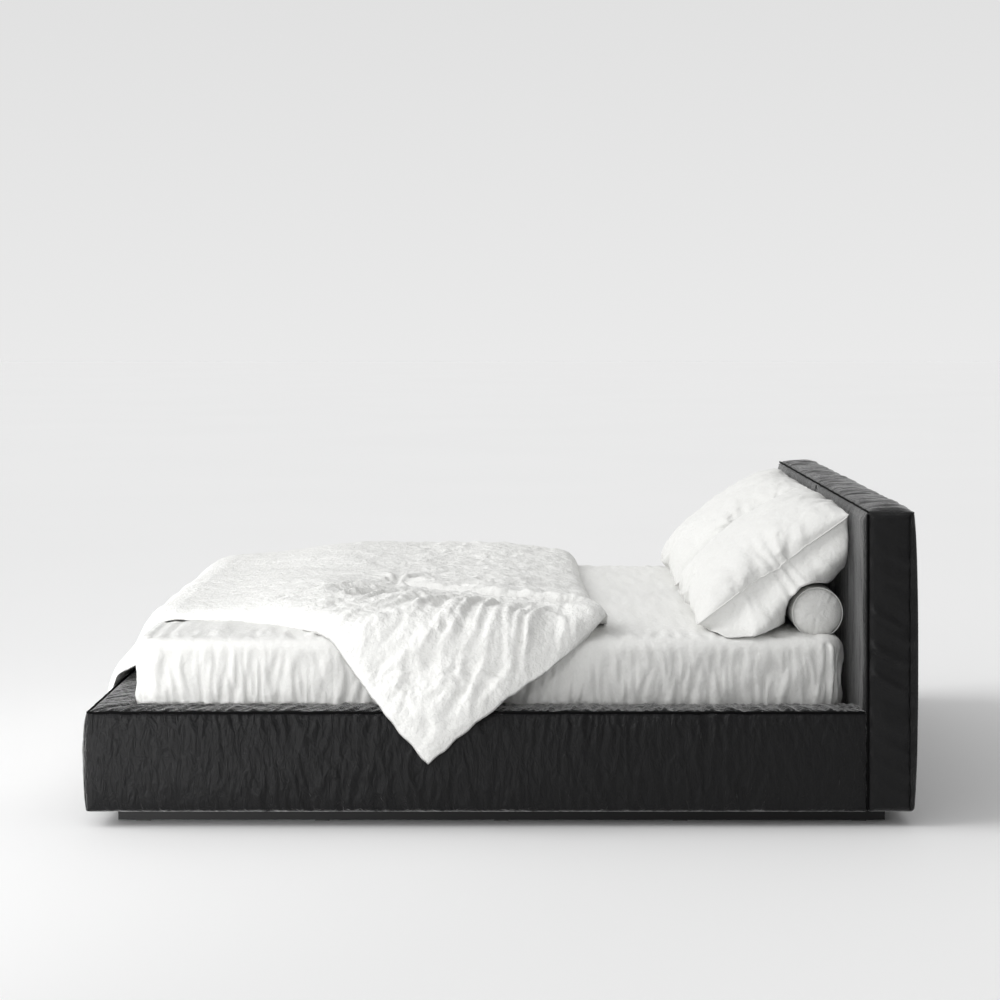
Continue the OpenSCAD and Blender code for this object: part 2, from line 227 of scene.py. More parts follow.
grey_felt, shader = finish_of("pressed_felt", 0.95)
fluff = texture(grey_felt, "Noise", 900.0)
coat(grey_felt, shader, (fluff, "Fac"), "#3A3A3A", "#5A5A58")
dress(grey_felt, "floor_glides")


# ---- hidden timber frame
# Sawn pine ledges, beam, slats and headboard bars, with birch plywood boards, bolted together.
# Pine shows long streaks of darker grain; birch plywood is paler with a fine short figure.
def timber(name, pale, dark, along, ring_mm, roughness):
    """Wood with its grain along one axis; ring_mm is the spacing of the dark bands."""
    mat, shader = finish_of(name, roughness)
    pitch = 1000.0 / ring_mm
    scale = [pitch, pitch, pitch]
    scale["xyz".index(along)] = pitch * 0.05
    bands = texture(mat, "Noise", 1.0, stretched(mat, scale), Detail=5.0, Distortion=0.6)
    coat(mat, shader, (bands, "Fac"), pale, dark, (bands, "Fac"), 0.2, 0.0008)
    return mat


pine_long = timber("sawn_pine_lengthwise", "#E0C296", "#A87B48", "x", 9.0, 0.6)
pine_cross = timber("sawn_pine_crosswise", "#E6CBA2", "#B98D58", "y", 9.0, 0.6)
pine_up = timber("sawn_pine_upright", "#DDBD8E", "#A67844", "z", 9.0, 0.6)
birch = timber("birch_plywood", "#E3CDA6", "#C7A877", "x", 4.0, 0.55)
dress(pine_long, "slat_ledge_near", "slat_ledge_far", "centre_beam")
dress(pine_cross, "slats_near", "slats_far", "headboard_crossbars")
dress(pine_up, "headboard_uprights", "plinth_blocks")
dress(birch, "rail_board_near", "rail_board_far", "rail_board_foot",
      "headboard_front_panel", "headboard_back_panel")


# ---- foam padding
# Cut blocks of cream polyurethane foam glued round the boards, and the pocket-sprung core and
# softer top layer of the mattress: matt, slightly mottled, full of tiny open cells.
cream_foam, shader = finish_of("cut_polyurethane_foam", 0.95)
cells = texture(cream_foam, "Voronoi", 450.0)
mottle = texture(cream_foam, "Noise", 14.0)
coat(cream_foam, shader, (mottle, "Fac"), "#EFE8CF", "#DDD2AC", (cells, "Distance"), 0.4, 0.0015)
dress(cream_foam, "rail_foam_near", "rail_foam_far", "rail_foam_foot",
      "headboard_front_foam", "headboard_back_foam", "headboard_edge_foam",
      "mattress_core", "comfort_layer")


# ---- metalwork
# Bright zinc-plated bolts, angle brackets and beam stirrups, and powder-coated steel legs on
# black nylon feet. Zinc plate is a little cloudy; powder coat has a fine orange peel.
zinc, shader = finish_of("zinc_plated_steel", 0.38, Metallic=1.0)
spangle = texture(zinc, "Voronoi", 160.0)
coat(zinc, shader, (spangle, "Distance"), "#C9CBCC", "#A4A7A9")
wire(zinc, shader, "Roughness",
     (span_of(zinc, (spangle, "Distance"), 0.0, 1.0, 0.3, 0.5), "Result"))
dress(zinc, "beam_hangers", "corner_brackets", "ledge_bolts", "corner_bolts", "headboard_bolts")


def plain_black(name, code, roughness, grain_scale, strength, depth, node):
    """One dark colour with a fine even grain."""
    mat, shader = finish_of(name, roughness)
    shader.inputs["Base Color"].default_value = linear(code)
    grain = texture(mat, "Noise", grain_scale)
    wire(mat, shader, "Normal", bump(mat, (grain, "Fac"), strength, depth))
    dress(mat, node)


plain_black("black_powder_coat", "#242526", 0.5, 700.0, 0.2, 0.0004, "centre_legs")
plain_black("black_moulded_nylon", "#18181A", 0.45, 1500.0, 0.15, 0.0003, "leg_feet")


# ---- slat webbing
# Woven polyester tape stapled under the slats to space them: a coarse ribbed weave.
def weave(mat, thread_mm, strength, depth):
    """A plain weave: threads along each axis, thread_mm apart, as a height and its bump."""
    scale = 2.0 * math.pi * 1000.0 / thread_mm / 20.0
    coord = add(mat, "TexCoord", {})
    warp, weft, side = [add(mat, "TexWave", {"Vector": (coord, "Object"), "Scale": scale,
                                             "Distortion": 1.2, "Detail Scale": 2.0},
                            wave_type="BANDS", bands_direction=axis) for axis in "XZY"]
    crossed = add(mat, "Math", {0: (warp, "Fac"), 1: (weft, "Fac")}, operation="ADD")
    both = (add(mat, "Math", {0: (crossed, "Value"), 1: (side, "Fac")}, operation="ADD"), "Value")
    return both, bump(mat, both, strength, depth)


tape, shader = finish_of("woven_polyester_tape", 0.8)
threads, relief = weave(tape, 2.0, 0.5, 0.0006)
coat(tape, shader, threads, "#C9C5B8", "#E4E0D4")
wire(tape, shader, "Normal", relief)
dress(tape, "slat_webbing")


# ---- rail slip-covers
# Each rail wears a loose cover of heavy washed cotton canvas over foam, gathered along its
# seams so that the outer face is full of small upright folds. The cloth is charcoal, with a
# black flat welt sewn into the top edge and a thin piped seam along the bottom.
def noise(a, b, seed):
    """Smooth gradient noise of two arrays, about -1 to 1, the same on every run."""
    ia, ib = np.floor(a).astype(np.int64), np.floor(b).astype(np.int64)
    fa, fb = a - ia, b - ib
    ua = fa * fa * fa * (fa * (fa * 6.0 - 15.0) + 10.0)
    ub = fb * fb * fb * (fb * (fb * 6.0 - 15.0) + 10.0)

    def slope(i, j):
        n = (i * 374761393 + j * 668265263 + seed * 974634777) & 0x7FFFFFFF
        n = ((n ^ (n >> 13)) * 1274126177) & 0x7FFFFFFF
        turn = ((n ^ (n >> 16)) & 0xFFFF) / 65536.0 * 2.0 * math.pi
        return np.cos(turn) * (a - i) + np.sin(turn) * (b - j)

    near = slope(ia, ib) * (1.0 - ua) + slope(ia + 1, ib) * ua
    far = slope(ia, ib + 1) * (1.0 - ua) + slope(ia + 1, ib + 1) * ua
    return (near * (1.0 - ub) + far * ub) * 1.45


def smooth(lo, hi, x):
    t = np.clip((x - lo) / (hi - lo), 0.0, 1.0)
    return t * t * (3.0 - 2.0 * t)


def box_net(lo, hi, step):
    """Points and faces on the surface of a box, and each point's place in it from 0 to 1."""
    count = [max(2, round((hi[k] - lo[k]) / step[k])) for k in range(3)]
    quads = []
    for k in range(3):
        i, j = (k + 1) % 3, (k + 2) % 3
        a, b = np.meshgrid(np.arange(count[i]), np.arange(count[j]), indexing="ij")
        for side in (0, 1):
            ring = []
            for da, db in ((0, 0), (1, 0), (1, 1), (0, 1)):
                g = np.zeros((a.size, 3), np.int64)
                g[:, i] = a.ravel() + da
                g[:, j] = b.ravel() + db
                g[:, k] = side * count[k]
                ring.append(g)
            if side == 0:
                ring.reverse()
            quads.append(np.stack(ring, 1))
    flat = np.concatenate(quads).reshape(-1, 3)
    key = flat[:, 0] + flat[:, 1] * 4096 + flat[:, 2] * 4096 * 4096
    _, first, index = np.unique(key, return_index=True, return_inverse=True)
    place = flat[first] / np.array(count, float)
    points = np.array(lo) + place * (np.array(hi) - np.array(lo))
    return points, index.reshape(-1, 4), place


def rounded(points, lo, hi, r):
    """Rounds the edges of points that lie on a box."""
    core = np.clip(points, np.array(lo) + r, np.array(hi) - r)
    off = points - core
    size = np.linalg.norm(off, axis=1, keepdims=True)
    reach = np.abs(off).max(axis=1, keepdims=True)
    return core + off * np.where(size > 1e-9, reach / np.maximum(size, 1e-9), 1.0)


def gathers(run, up, seed, height):
    """Upright folds on a gathered panel; run and up are metres along and up it."""
    sway = 0.010 * noise(run / 0.09, up / 0.10, seed + 1)
    lean = 0.16 * noise(run / 0.35, up / 0.30, seed + 2) * up
    a = run + sway + lean
    broad = noise(a / 0.030, up / 0.11, seed + 3)
    fine = noise(a / 0.015, up / 0.055, seed + 4)
    line = np.exp(-(noise(a / 0.036 + 7.3, up / 0.12, seed + 5) / 0.20) ** 2)
    ends = 0.45 + 0.55 * (smooth(height * 0.6, 0.0, up) + smooth(height * 0.45, height, up))
    patch = 0.70 + 0.55 * noise(run / 0.22, up / 0.20, seed + 6)
    return (0.0074 * broad + 0.0036 * fine + 0.0070 * line) * ends * patch


rail_lo, rail_hi = 0.040, 0.316
outer, inner = 1.020, 0.902
foot_out, foot_in = -1.140, -1.040
head_in = 1.012


def corner_turn(away, r):
    """Moves along and into a face, away from a corner, that round the corner to radius r."""
    turn = np.clip(1.0 - away / r, 0.0, 1.0) * math.pi / 4.0
    return r * (1.0 - np.sin(turn)) - np.minimum(away, r), r * (1.0 - np.cos(turn))


def swell(place, depth):
    """The crown of a stuffed panel between its seams; place runs from 0 to 1."""
    return depth * np.clip(1.0 - np.abs(2.0 * place - 1.0) ** 2.6, 0.0, 1.0) ** 0.75


def soft_corner(points, gap):
    """Ears, inward move and lengthwise move at an upright corner that lies gap away."""
    share = (points[:, 2] - rail_lo) / (rail_hi - rail_lo)
    skin = np.exp(-points[:, 1] / 0.02)
    along, inset = corner_turn(gap, 0.008 + 0.034 * 4.0 * share * (1.0 - share))
    bulge = swell(share, 0.021) * np.exp(-gap / 0.06)
    ear = np.exp(-gap / 0.018) * (np.exp(-(points[:, 2] - rail_lo) / 0.012)
                                  + np.exp(-(rail_hi - points[:, 2]) / 0.012))
    return 0.008 * (ear * np.exp(-points[:, 1] / 0.012)), inset * skin, (along - bulge) * skin


def cover_cloth(points, place, run, seed, quiet, length, tail, flatten):
    """Crowns and gathers of a rail lying along its run; returns outward, up and inward moves.

    Face y=0 of the net is the outer panel, z=1 the top and y=1 the inner panel."""
    height = rail_hi - rail_lo
    up = points[:, 2] - rail_lo
    edge = np.minimum(run, length - run)
    near_end = 1.0 - np.exp(-np.maximum(tail, 0.0) / 0.05)
    hem = np.minimum(smooth(0.0, 0.012, up), smooth(0.0, 0.012, height - up))
    out = np.where(place[:, 1] == 0.0,
                   swell(up / height, 0.019) * near_end
                   + gathers(run, up, seed, height) * hem * quiet * smooth(0.0, 0.03, edge), 0.0)
    across = place[:, 1]
    seam = np.minimum(smooth(0.0, 0.12, across), smooth(0.0, 0.1, 1.0 - across))
    pucker = (0.0060 * noise(run / 0.022 + 1.5 * across, across * 1.1, seed + 11)
              + 0.0036 * noise(run / 0.011, across * 2.0, seed + 12))
    top = np.where(place[:, 2] == 1.0,
                   (swell(across, 0.006) + flatten * pucker * seam) * smooth(0.0, 0.03, edge), 0.0)
    inn = np.where(place[:, 1] == 1.0,
                   hem * (0.002 * noise(run / 0.03, up / 0.1, seed + 13) - 0.002), 0.0)
    return out, top, inn


def wave_of_seam(run, seed):
    """The slight rise and fall of a hand-sewn seam along its run."""
    level = np.zeros_like(run)
    return 0.0018 * noise(run / 0.045, level, seed) + 0.0012 * noise(run / 0.019, level, seed + 1)


def side_rail(side, seed):
    """Points of one long rail cover; side is -1 near and 1 far."""
    lo, hi = (foot_out, 0.0, rail_lo), (head_in, outer - inner, rail_hi)
    points, faces, place = box_net(lo, hi, (0.0048, 0.0065, 0.006))
    run = points[:, 0] - foot_out
    length = head_in - foot_out
    quiet = 0.35 + 0.65 * smooth(0.10, 0.75, run) * smooth(0.02, 0.42, length - run)
    out, top, inn = cover_cloth(points, place, run, seed, quiet, length, length - run, 1.0)
    shaped = rounded(points, lo, hi, 0.007)
    shaped[:, 1] += inn - out
    shaped[:, 2] += top + wave_of_seam(run, seed + 20) * smooth(0.7, 1.0, place[:, 2])
    ear, inset, along = soft_corner(points, run)
    shaped[:, 1] += inset
    shaped[:, 1] -= ear
    across = np.clip(points[:, 1] / (outer - inner), 0.0, 1.0)
    start = foot_out + across * (foot_in - foot_out)
    t = (shaped[:, 0] - foot_out) / length
    shaped[:, 0] = start + t * (head_in - start) - ear + along
    shaped[:, 1] -= outer
    if side > 0:
        shaped[:, 1] *= -1.0
        faces = faces[:, ::-1]
    return shaped, faces


def foot_rail(seed):
    """Points of the foot rail cover, mitred at both ends."""
    lo, hi = (-outer, 0.0, rail_lo), (outer, foot_in - foot_out, rail_hi)
    points, faces, place = box_net(lo, hi, (0.0050, 0.0065, 0.006))
    run = points[:, 0] + outer
    length = 2.0 * outer
    out, top, inn = cover_cloth(points, place, run, seed, 0.6, length, np.full_like(run, 9.0), 0.4)
    shaped = rounded(points, lo, hi, 0.007)
    shaped[:, 1] += inn - out
    shaped[:, 2] += top + wave_of_seam(run, seed + 20) * smooth(0.7, 1.0, place[:, 2])
    ear, inset, along = soft_corner(points, np.minimum(run, length - run))
    across = np.clip(points[:, 1] / (foot_in - foot_out), 0.0, 1.0)
    half = outer - across * (outer - inner)
    y = shaped[:, 0] / outer * half
    turned = np.stack([foot_out + shaped[:, 1] - ear + inset, -y + np.sign(-y) * (ear - along),
                       shaped[:, 2]], 1)
    return turned, faces


def tube(path, radius, sides, flat):
    """Points and faces of a closed-ended round or flattened cord along a path of points."""
    path = np.array(path, float)
    along = np.gradient(path, axis=0)
    along /= np.linalg.norm(along, axis=1, keepdims=True)
    guide = np.tile([0.0, 0.0, 1.0], (len(path), 1))
    steep = np.abs(along[:, 2]) > 0.9
    guide[steep] = [0.0, 1.0, 0.0]
    wide = np.cross(along, guide)
    wide /= np.linalg.norm(wide, axis=1, keepdims=True)
    tall = np.cross(wide, along)
    turn = np.arange(sides) / sides * 2.0 * math.pi
    rings = (path[:, None, :] + radius * (np.cos(turn)[None, :, None] * wide[:, None, :] * flat
                                          + np.sin(turn)[None, :, None] * tall[:, None, :]))
    points = np.concatenate([rings.reshape(-1, 3), path[:1], path[-1:]])
    faces = []
    n = len(path)
    for i in range(n - 1):
        for k in range(sides):
            m = (k + 1) % sides
            faces.append([i * sides + k, i * sides + m, (i + 1) * sides + m, (i + 1) * sides + k])
    for k in range(sides):
        m = (k + 1) % sides
        faces.append([n * sides, n * sides, m, k])
        faces.append([n * sides + 1, n * sides + 1, (n - 1) * sides + k, (n - 1) * sides + m])
    return points, np.array(faces)


def trim(name, path, radius, sides, cloth, body, slot, flat=1.0):
    """A sewn cord or tape that rides on a body."""
    return cloth_piece(name, *tube(path, radius, sides, flat), cloth, body, slot)


def canvas_cloth(name, code, pale, thread_mm, crease_mm, upright_share):
    """Heavy washed canvas: a coarse plain weave, worn a touch paler in faint random blotches."""
    mat, shader = finish_of(name, 0.38, Sheen_Weight=0.66, Sheen_Roughness=0.32,
                            Specular_IOR_Level=0.20)
    blotch = texture(mat, "Noise", 5.0, Detail=6.0, Roughness=0.65)
    slub = texture(mat, "Noise", 260.0, Detail=2.0)
    mixed = add(mat, "Math", {0: (blotch, "Fac"), 1: (slub, "Fac")}, operation="MULTIPLY")
    creases = texture(mat, "Noise", 52.0, stretched(mat, (1.0, 1.0, upright_share)), Detail=4.0,
                      Distortion=0.9)
    coat(mat, shader, (mixed, "Value"), code, pale, (creases, "Fac"), 0.9, crease_mm / 1000.0,
         weave(mat, thread_mm, 0.35, 0.0008)[1])
    return mat


charcoal = canvas_cloth("washed_charcoal_canvas", "#0E0E0F", "#151516", 3.0, 8.0, 0.34)
black_tape, shader = finish_of("black_welt_tape", 0.9, Specular_IOR_Level=0.1)
rib = texture(black_tape, "Noise", 420.0)
coat(black_tape, shader, (rib, "Fac"), "#050505", "#0E0E0F", (rib, "Fac"), 0.4, 0.0008)

welt_r, hem_r, cord_step = 0.0036, 0.0026, 0.006
for name, side, seed in (("near_rail_cover", -1, 10), ("far_rail_cover", 1, 60)):
    points, faces = side_rail(side, seed)
    piece = cloth_piece(name, points, faces, charcoal, "bed_frame", "slipcover")
    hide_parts("rail_cover_near" if side < 0 else "rail_cover_far")
    run = np.arange(0.0, head_in - foot_out, cord_step)
    path = np.stack([foot_out - 0.004 + run, np.full_like(run, side * (outer + 0.002)),
                     rail_hi - 0.001 + wave_of_seam(run, seed + 20)], 1)
    welt = trim(name.replace("cover", "welt"), path, welt_r, 8, black_tape, "bed_frame", "welt",
                0.8)
    path[:, 1] = side * (outer + 0.0015)
    path[:, 2] = rail_lo + 0.009 + 0.6 * wave_of_seam(run, seed + 31)
    trim(name.replace("cover", "hem"), path, hem_r, 6, charcoal, "bed_frame", "slipcover")
    if side < 0:
        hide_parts("rail_welts")

points, faces = foot_rail(110)
piece = cloth_piece("foot_rail_cover", points, faces, charcoal, "bed_frame", "slipcover")
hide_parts("rail_cover_foot")
run = np.arange(0.0, 2.0 * outer + 0.004, cord_step)
path = np.stack([np.full_like(run, foot_out - 0.002), outer - run,
                 rail_hi - 0.001 + wave_of_seam(run, 130)], 1)
trim("foot_rail_welt", path, welt_r, 8, black_tape, "bed_frame", "welt", 0.8)
path[:, 0] = foot_out - 0.0015
path[:, 2] = rail_lo + 0.009 + 0.6 * wave_of_seam(run, 141)
trim("foot_rail_hem", path, hem_r, 6, charcoal, "bed_frame", "slipcover")


# ---- headboard slip-cover
# One cover in the same canvas over the padded board: two front panels joined by an upright
# seam in the middle, a boxing strip round the ends and top, and a welted front edge. It is
# loose enough to crease across the ends and to crown along the top.
head_out, head_top = 1.142, 0.870
board_lo, board_hi = (head_in, -outer, rail_lo), (head_out, outer, head_top)
points, faces, place = box_net(board_lo, board_hi, (0.0065, 0.0075, 0.0075))
x, y, z = points.T
up = z - board_lo[2]
high = board_hi[2] - board_lo[2]
shaped = rounded(points, board_lo, board_hi, 0.009)
front, back = place[:, 0] == 0.0, place[:, 0] == 1.0
near, far, top = place[:, 1] == 0.0, place[:, 1] == 1.0, place[:, 2] == 1.0
from_ends = np.minimum(smooth(0.0, 0.03, y + outer), smooth(0.0, 0.03, outer - y))
rim = np.minimum(from_ends, np.minimum(smooth(0.0, 0.03, up), smooth(0.0, 0.03, high - up)))
middle = 1.0 - 0.9 * np.exp(-(np.abs(y) / 0.016) ** 1.4)
soft = 0.004 * noise(y / 0.10, z / 0.22, 301) + 0.0016 * noise(y / 0.035, z / 0.09, 302)
pulls = 0.0035 * np.exp(-np.abs(y) / 0.10) * noise(y / 0.05 + 2.0, z / 0.035, 303)
shaped[:, 0] -= np.where(front, rim * (middle * (0.009 + soft) + pulls), 0.0)
hollow = swell(np.clip(up / high, 0.0, 1.0), 0.016)
hollow = hollow * (0.75 + 0.25 * swell((y + outer) / (2.0 * outer), 1.0))
shaped[:, 0] += np.where(back, hollow + rim * (0.003 * noise(y / 0.12, z / 0.30, 305)
                                               + 0.001 * noise(y / 0.04, z / 0.10, 306)), 0.0)
crown = swell(place[:, 0], 0.011) + 0.005 * noise(y / 0.045 + 0.6 * place[:, 0], x / 0.11, 310)
crown = crown + 0.003 * noise(y / 0.018 + 0.8 * place[:, 0], x / 0.08, 311)
hem_x = np.minimum(smooth(0.0, 0.012, x - head_in), smooth(0.0, 0.016, head_out - x))
shaped[:, 2] += np.where(top, crown * hem_x * from_ends, 0.0)
sag = z + 0.55 * (x - head_in)
drag = (0.0075 * noise(sag / 0.045, x / 0.16, 320) * smooth(0.95, 0.55, z)
        + 0.002 * noise(sag / 0.02, x / 0.10, 321) + 0.0018 * noise(z / 0.06, x / 0.03, 322))
fold = (0.012 * np.exp(-((sag - 0.60) / 0.010) ** 2)
        + 0.011 * np.exp(-((sag - 0.50) / 0.012) ** 2)
        + 0.010 * np.exp(-((sag - 0.43) / 0.010) ** 2))
fold = fold * smooth(head_in, 1.04, x) * smooth(1.13, 1.07, x)
ends = hem_x * np.minimum(smooth(0.0, 0.02, up), smooth(0.0, 0.02, high - up))
shaped[:, 1] -= np.where(near, ends * (swell(place[:, 0], 0.013) + drag + fold), 0.0)
shaped[:, 1] += np.where(far, ends * (swell(place[:, 0], 0.013) + drag), 0.0)
shaped[:, 2] += (0.0022 * noise(y / 0.06, x / 0.5, 331)
                 + 0.0014 * noise(y / 0.021, x / 0.5, 332)) * smooth(0.80, head_top, z)
calm_charcoal = canvas_cloth("washed_charcoal_canvas_taut", "#0E0E0F", "#151516", 3.0, 2.2, 0.8)
piece = cloth_piece("headboard_slipcover", shaped, faces, calm_charcoal, "bed_frame", "slipcover")
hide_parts("headboard_cover")


def board_cord(name, x, y, z, radius, cloth):
    """A seam or welt of the headboard cover through arrays of places."""
    x, y, z = np.broadcast_arrays(x, y, z)
    return trim(name, np.stack([x, y, z], 1), radius, 8, cloth, "bed_frame", "welt")


z = np.arange(0.046, 0.866, cord_step)
y = np.arange(-1.018, 1.0185, cord_step)
jog = 0.0012 * noise(z / 0.04, np.zeros_like(z), 341)
for side, end in ((-1, "near"), (1, "far")):
    board_cord("headboard_front_welt_" + end, 1.0125 + jog, side * outer, z, 0.0030, black_tape)
    board_cord("headboard_back_seam_" + end, 1.128 + jog, side * 1.0290, z, 0.0014, black_tape)
top_line = 0.8695 + 0.0022 * noise(y / 0.06, np.full_like(y, head_in / 0.5), 331)
top_welt = board_cord("headboard_top_welt", 1.0130, y, top_line, 0.0030, black_tape)
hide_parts("headboard_welts")
board_cord("headboard_back_top_seam", 1.1400, y, 0.8660, 0.0026, charcoal)
board_cord("headboard_centre_seam", 1.0090 + jog * 0.5, 0.0, z, 0.0016, black_tape)


# ---- mattress
# A pocket-sprung mattress in a pale knitted ticking with a taped border top and bottom, lying
# inside the rails on the slats.
def rounded_slab(points, lo, hi, upright_r, edge_r, both=True):
    """Rounds a box's upright corners and its long edges; also gives the outward direction."""
    lo, hi = np.array(lo, float), np.array(hi, float)
    flat = points[:, :2]
    core = np.clip(flat, lo[:2] + upright_r, hi[:2] - upright_r)
    off = flat - core
    size = np.linalg.norm(off, axis=1)
    reach = np.abs(off).max(axis=1)
    out = off / np.maximum(size, 1e-9)[:, None]
    shaped = core + out * reach[:, None]
    deep = np.minimum(np.minimum(flat[:, 0] - lo[0], hi[0] - flat[:, 0]),
                      np.minimum(flat[:, 1] - lo[1], hi[1] - flat[:, 1]))
    z = points[:, 2]
    qs = np.maximum(deep, edge_r)
    qz = np.clip(z, lo[2] + (edge_r if both else 0.0), hi[2] - edge_r)
    ds, dz = deep - qs, z - qz
    norm = np.maximum(np.hypot(ds, dz), 1e-9)
    big = np.maximum(np.abs(ds), np.abs(dz))
    k = np.where(norm > 1e-8, big / norm, 1.0)
    moved = qs + ds * k - deep
    shaped = shaped - out * moved[:, None]
    return np.column_stack([shaped, qz + dz * k]), out, deep


ticking_cloth, shader = finish_of("knitted_cotton_ticking", 0.85)
damask = texture(ticking_cloth, "Voronoi", 28.0)
damask.feature = "SMOOTH_F1"
loops = texture(ticking_cloth, "Noise", 600.0)
coat(ticking_cloth, shader, (loops, "Fac"), "#E4E3DE", "#F2F1ED", (damask, "Distance"), 0.6, 0.006)

mat_lo, mat_hi = (-1.0275, -0.8885, 0.2706), (0.9555, 0.8885, 0.4950)
points, faces, place = box_net(mat_lo, mat_hi, (0.02, 0.02, 0.012))
shaped, out, deep = rounded_slab(points, mat_lo, mat_hi, 0.062, 0.030)
mattress = cloth_piece("mattress_ticking_case", shaped, faces, ticking_cloth, "mattress", "ticking")
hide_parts("mattress_ticking")


# ---- fitted sheet
# White washed linen, cut large and elasticated all round its hem, so its sides hang in
# upright gathers that are drawn in hard where they tuck down between mattress and rail.
def washed_linen(name, bright, shade, crease_scale, crease_mm):
    """Washed linen: slubby plain weave, soft crumples, matt with a faint fuzz of sheen."""
    mat, shader = finish_of(name, 0.9, Sheen_Weight=0.15, Sheen_Roughness=0.6)
    slub = texture(mat, "Noise", 170.0, Detail=3.0, Roughness=0.6)
    slubs = bump(mat, (slub, "Fac"), 0.25, 0.0012, weave(mat, 2.6, 0.22, 0.0006)[1])
    crease = texture(mat, "Noise", crease_scale, Detail=6.0, Roughness=0.55, Distortion=0.35)
    coat(mat, shader, (slub, "Fac"), shade, bright, (crease, "Fac"), 0.8, crease_mm / 1000.0, slubs)
    return mat


sheet_linen = washed_linen("washed_linen_sheet", "#E9E9E7", "#DFDFDC", 58.0, 3.6)
sheet_lo, sheet_hi = (-1.0390, -0.9000, 0.2850), (0.9670, 0.9000, 0.5045)
points, faces, place = box_net(sheet_lo, sheet_hi, (0.0058, 0.0075, 0.006))
shaped, out, deep = rounded_slab(points, sheet_lo, sheet_hi, 0.073, 0.041, both=False)
faces = faces[~np.all(place[faces][:, :, 2] == 0.0, axis=1)]
x, y, z = points.T
on_side = np.abs(x - np.clip(x, -1.0, 0.93)) > np.abs(y - np.clip(y, -0.862, 0.862))
run = np.where(on_side, y + 3.0, x)
level = np.zeros_like(z)
lean = (run + 0.012 * noise(run / 0.10, z / 0.12, 401)
        + 0.10 * noise(run / 0.3, level, 402) * (z - 0.3))
valley_a = np.exp(-(noise(lean / 0.034, z / 0.20, 403) / 0.20) ** 2)
valley_b = np.exp(-(noise(lean / 0.020 + 9.0, z / 0.12, 404) / 0.20) ** 2)
soft = noise(lean / 0.026 + 3.0, z / 0.08, 405)
low = smooth(0.480, 0.330, z)
mid = smooth(0.505, 0.43, z)
patch = 0.75 + 0.5 * noise(run / 0.20, level, 406)
draw = -(0.0125 * valley_a + 0.0034 * valley_b * smooth(0.42, 0.32, z)) * (
    0.45 * mid + 0.55 * low) * patch
belly = 0.0044 + 0.0068 * soft * mid - 0.005 * smooth(0.35, 0.30, z)
deepest = -0.0112
side_move = np.clip(draw + belly, deepest, 0.014) * smooth(0.05, 0.0, deep)
tuck = 0.009 * np.exp(-((x - 0.936) / 0.009) ** 2) - 0.010 * np.exp(-((x - 0.918) / 0.006) ** 2)
tuck = tuck * smooth(-0.86, -0.9, y) * smooth(0.5, 0.47, z)
shaped[:, :2] += out * np.maximum(side_move + tuck, deepest)[:, None]
top = smooth(0.49, 0.504, z) * smooth(0.0, 0.05, deep)
crown = 0.010 * smooth(0.0, 0.35, deep) - 0.004 * smooth(0.12, 0.02, deep)
ripple = (0.0016 * noise(x / 0.030, y / 0.16, 410) + 0.0028 * noise(x / 0.07, y / 0.22, 411)
          + 0.0052 * smooth(0.20, 0.03, deep) * noise(lean / 0.026, deep / 0.10, 412))
shaped[:, 2] += top * (crown + ripple)
fitted = cloth_piece("fitted_sheet_linen", shaped, faces, sheet_linen, "mattress", "linen")
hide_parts("fitted_sheet")


# ---- bolster
# A round bolster in the same linen, its end discs gathered into a seam; it lies across the
# head of the bed and the pillows lean on it.
pillow_linen = washed_linen("washed_linen_pillow", "#E4E4E2", "#DBDBD8", 64.0, 4.5)
bolster_half = 0.835
bolster_x, bolster_z = 0.900, 0.5640
turn = np.arange(120) / 120.0 * 2.0 * math.pi
profile = [(0.0001, 0.0), (0.010, 0.0), (0.022, 0.0), (0.034, 0.001), (0.046, 0.003),
           (0.056, 0.006), (0.064, 0.010), (0.069, 0.014), (0.072, 0.018), (0.0735, 0.024),
           (0.0742, 0.032)]
lengths = list(np.linspace(0.042, 2.0 * bolster_half - 0.042, 200))
rings = [(r, -bolster_half - 0.008 + d) for r, d in profile]
rings += [(0.0748, -bolster_half + d) for d in lengths]
rings += [(r, bolster_half + 0.008 - d) for r, d in profile[::-1]]
rows = []
for r, y in rings:
    gap = bolster_half - abs(y)
    c, s = np.cos(turn), np.sin(turn)
    pull = 0.0024 * math.exp(-max(gap, 0.0) / 0.06) * noise(c * 5.0, s * 5.0, 501)
    drift = 0.0018 * noise(c * 1.6 + y * 6.0, s * 1.6 - y * 9.0, 502)
    pinch = -0.002 * math.exp(-((gap - 0.006) / 0.006) ** 2)
    grow = 0.965 * r + (pull + pinch) * min(1.0, r / 0.05) + drift * min(1.0, r / 0.06)
    rows.append(np.stack([bolster_x + grow * c, np.full_like(c, y) + 0.0015 * noise(
        c * r * 60.0, s * r * 60.0, 503), bolster_z + grow * s], 1))
grid = np.array(rows)
rests_at = 0.4990
grid[:, :, 2] = np.maximum(grid[:, :, 2], rests_at + 0.1 * (grid[:, :, 2] - rests_at))
count, around = grid.shape[:2]
quads = [[i * around + k, i * around + (k + 1) % around, (i + 1) * around + (k + 1) % around,
          (i + 1) * around + k] for i in range(count - 1) for k in range(around)]
bolster = cloth_piece("bolster_linen", grid.reshape(-1, 3), np.array(quads)[:, ::-1], pillow_linen,
                      "bolster", "linen")
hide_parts("bolster_cover")
ring, seam_ring_r = np.append(turn, turn[0]), 0.0712
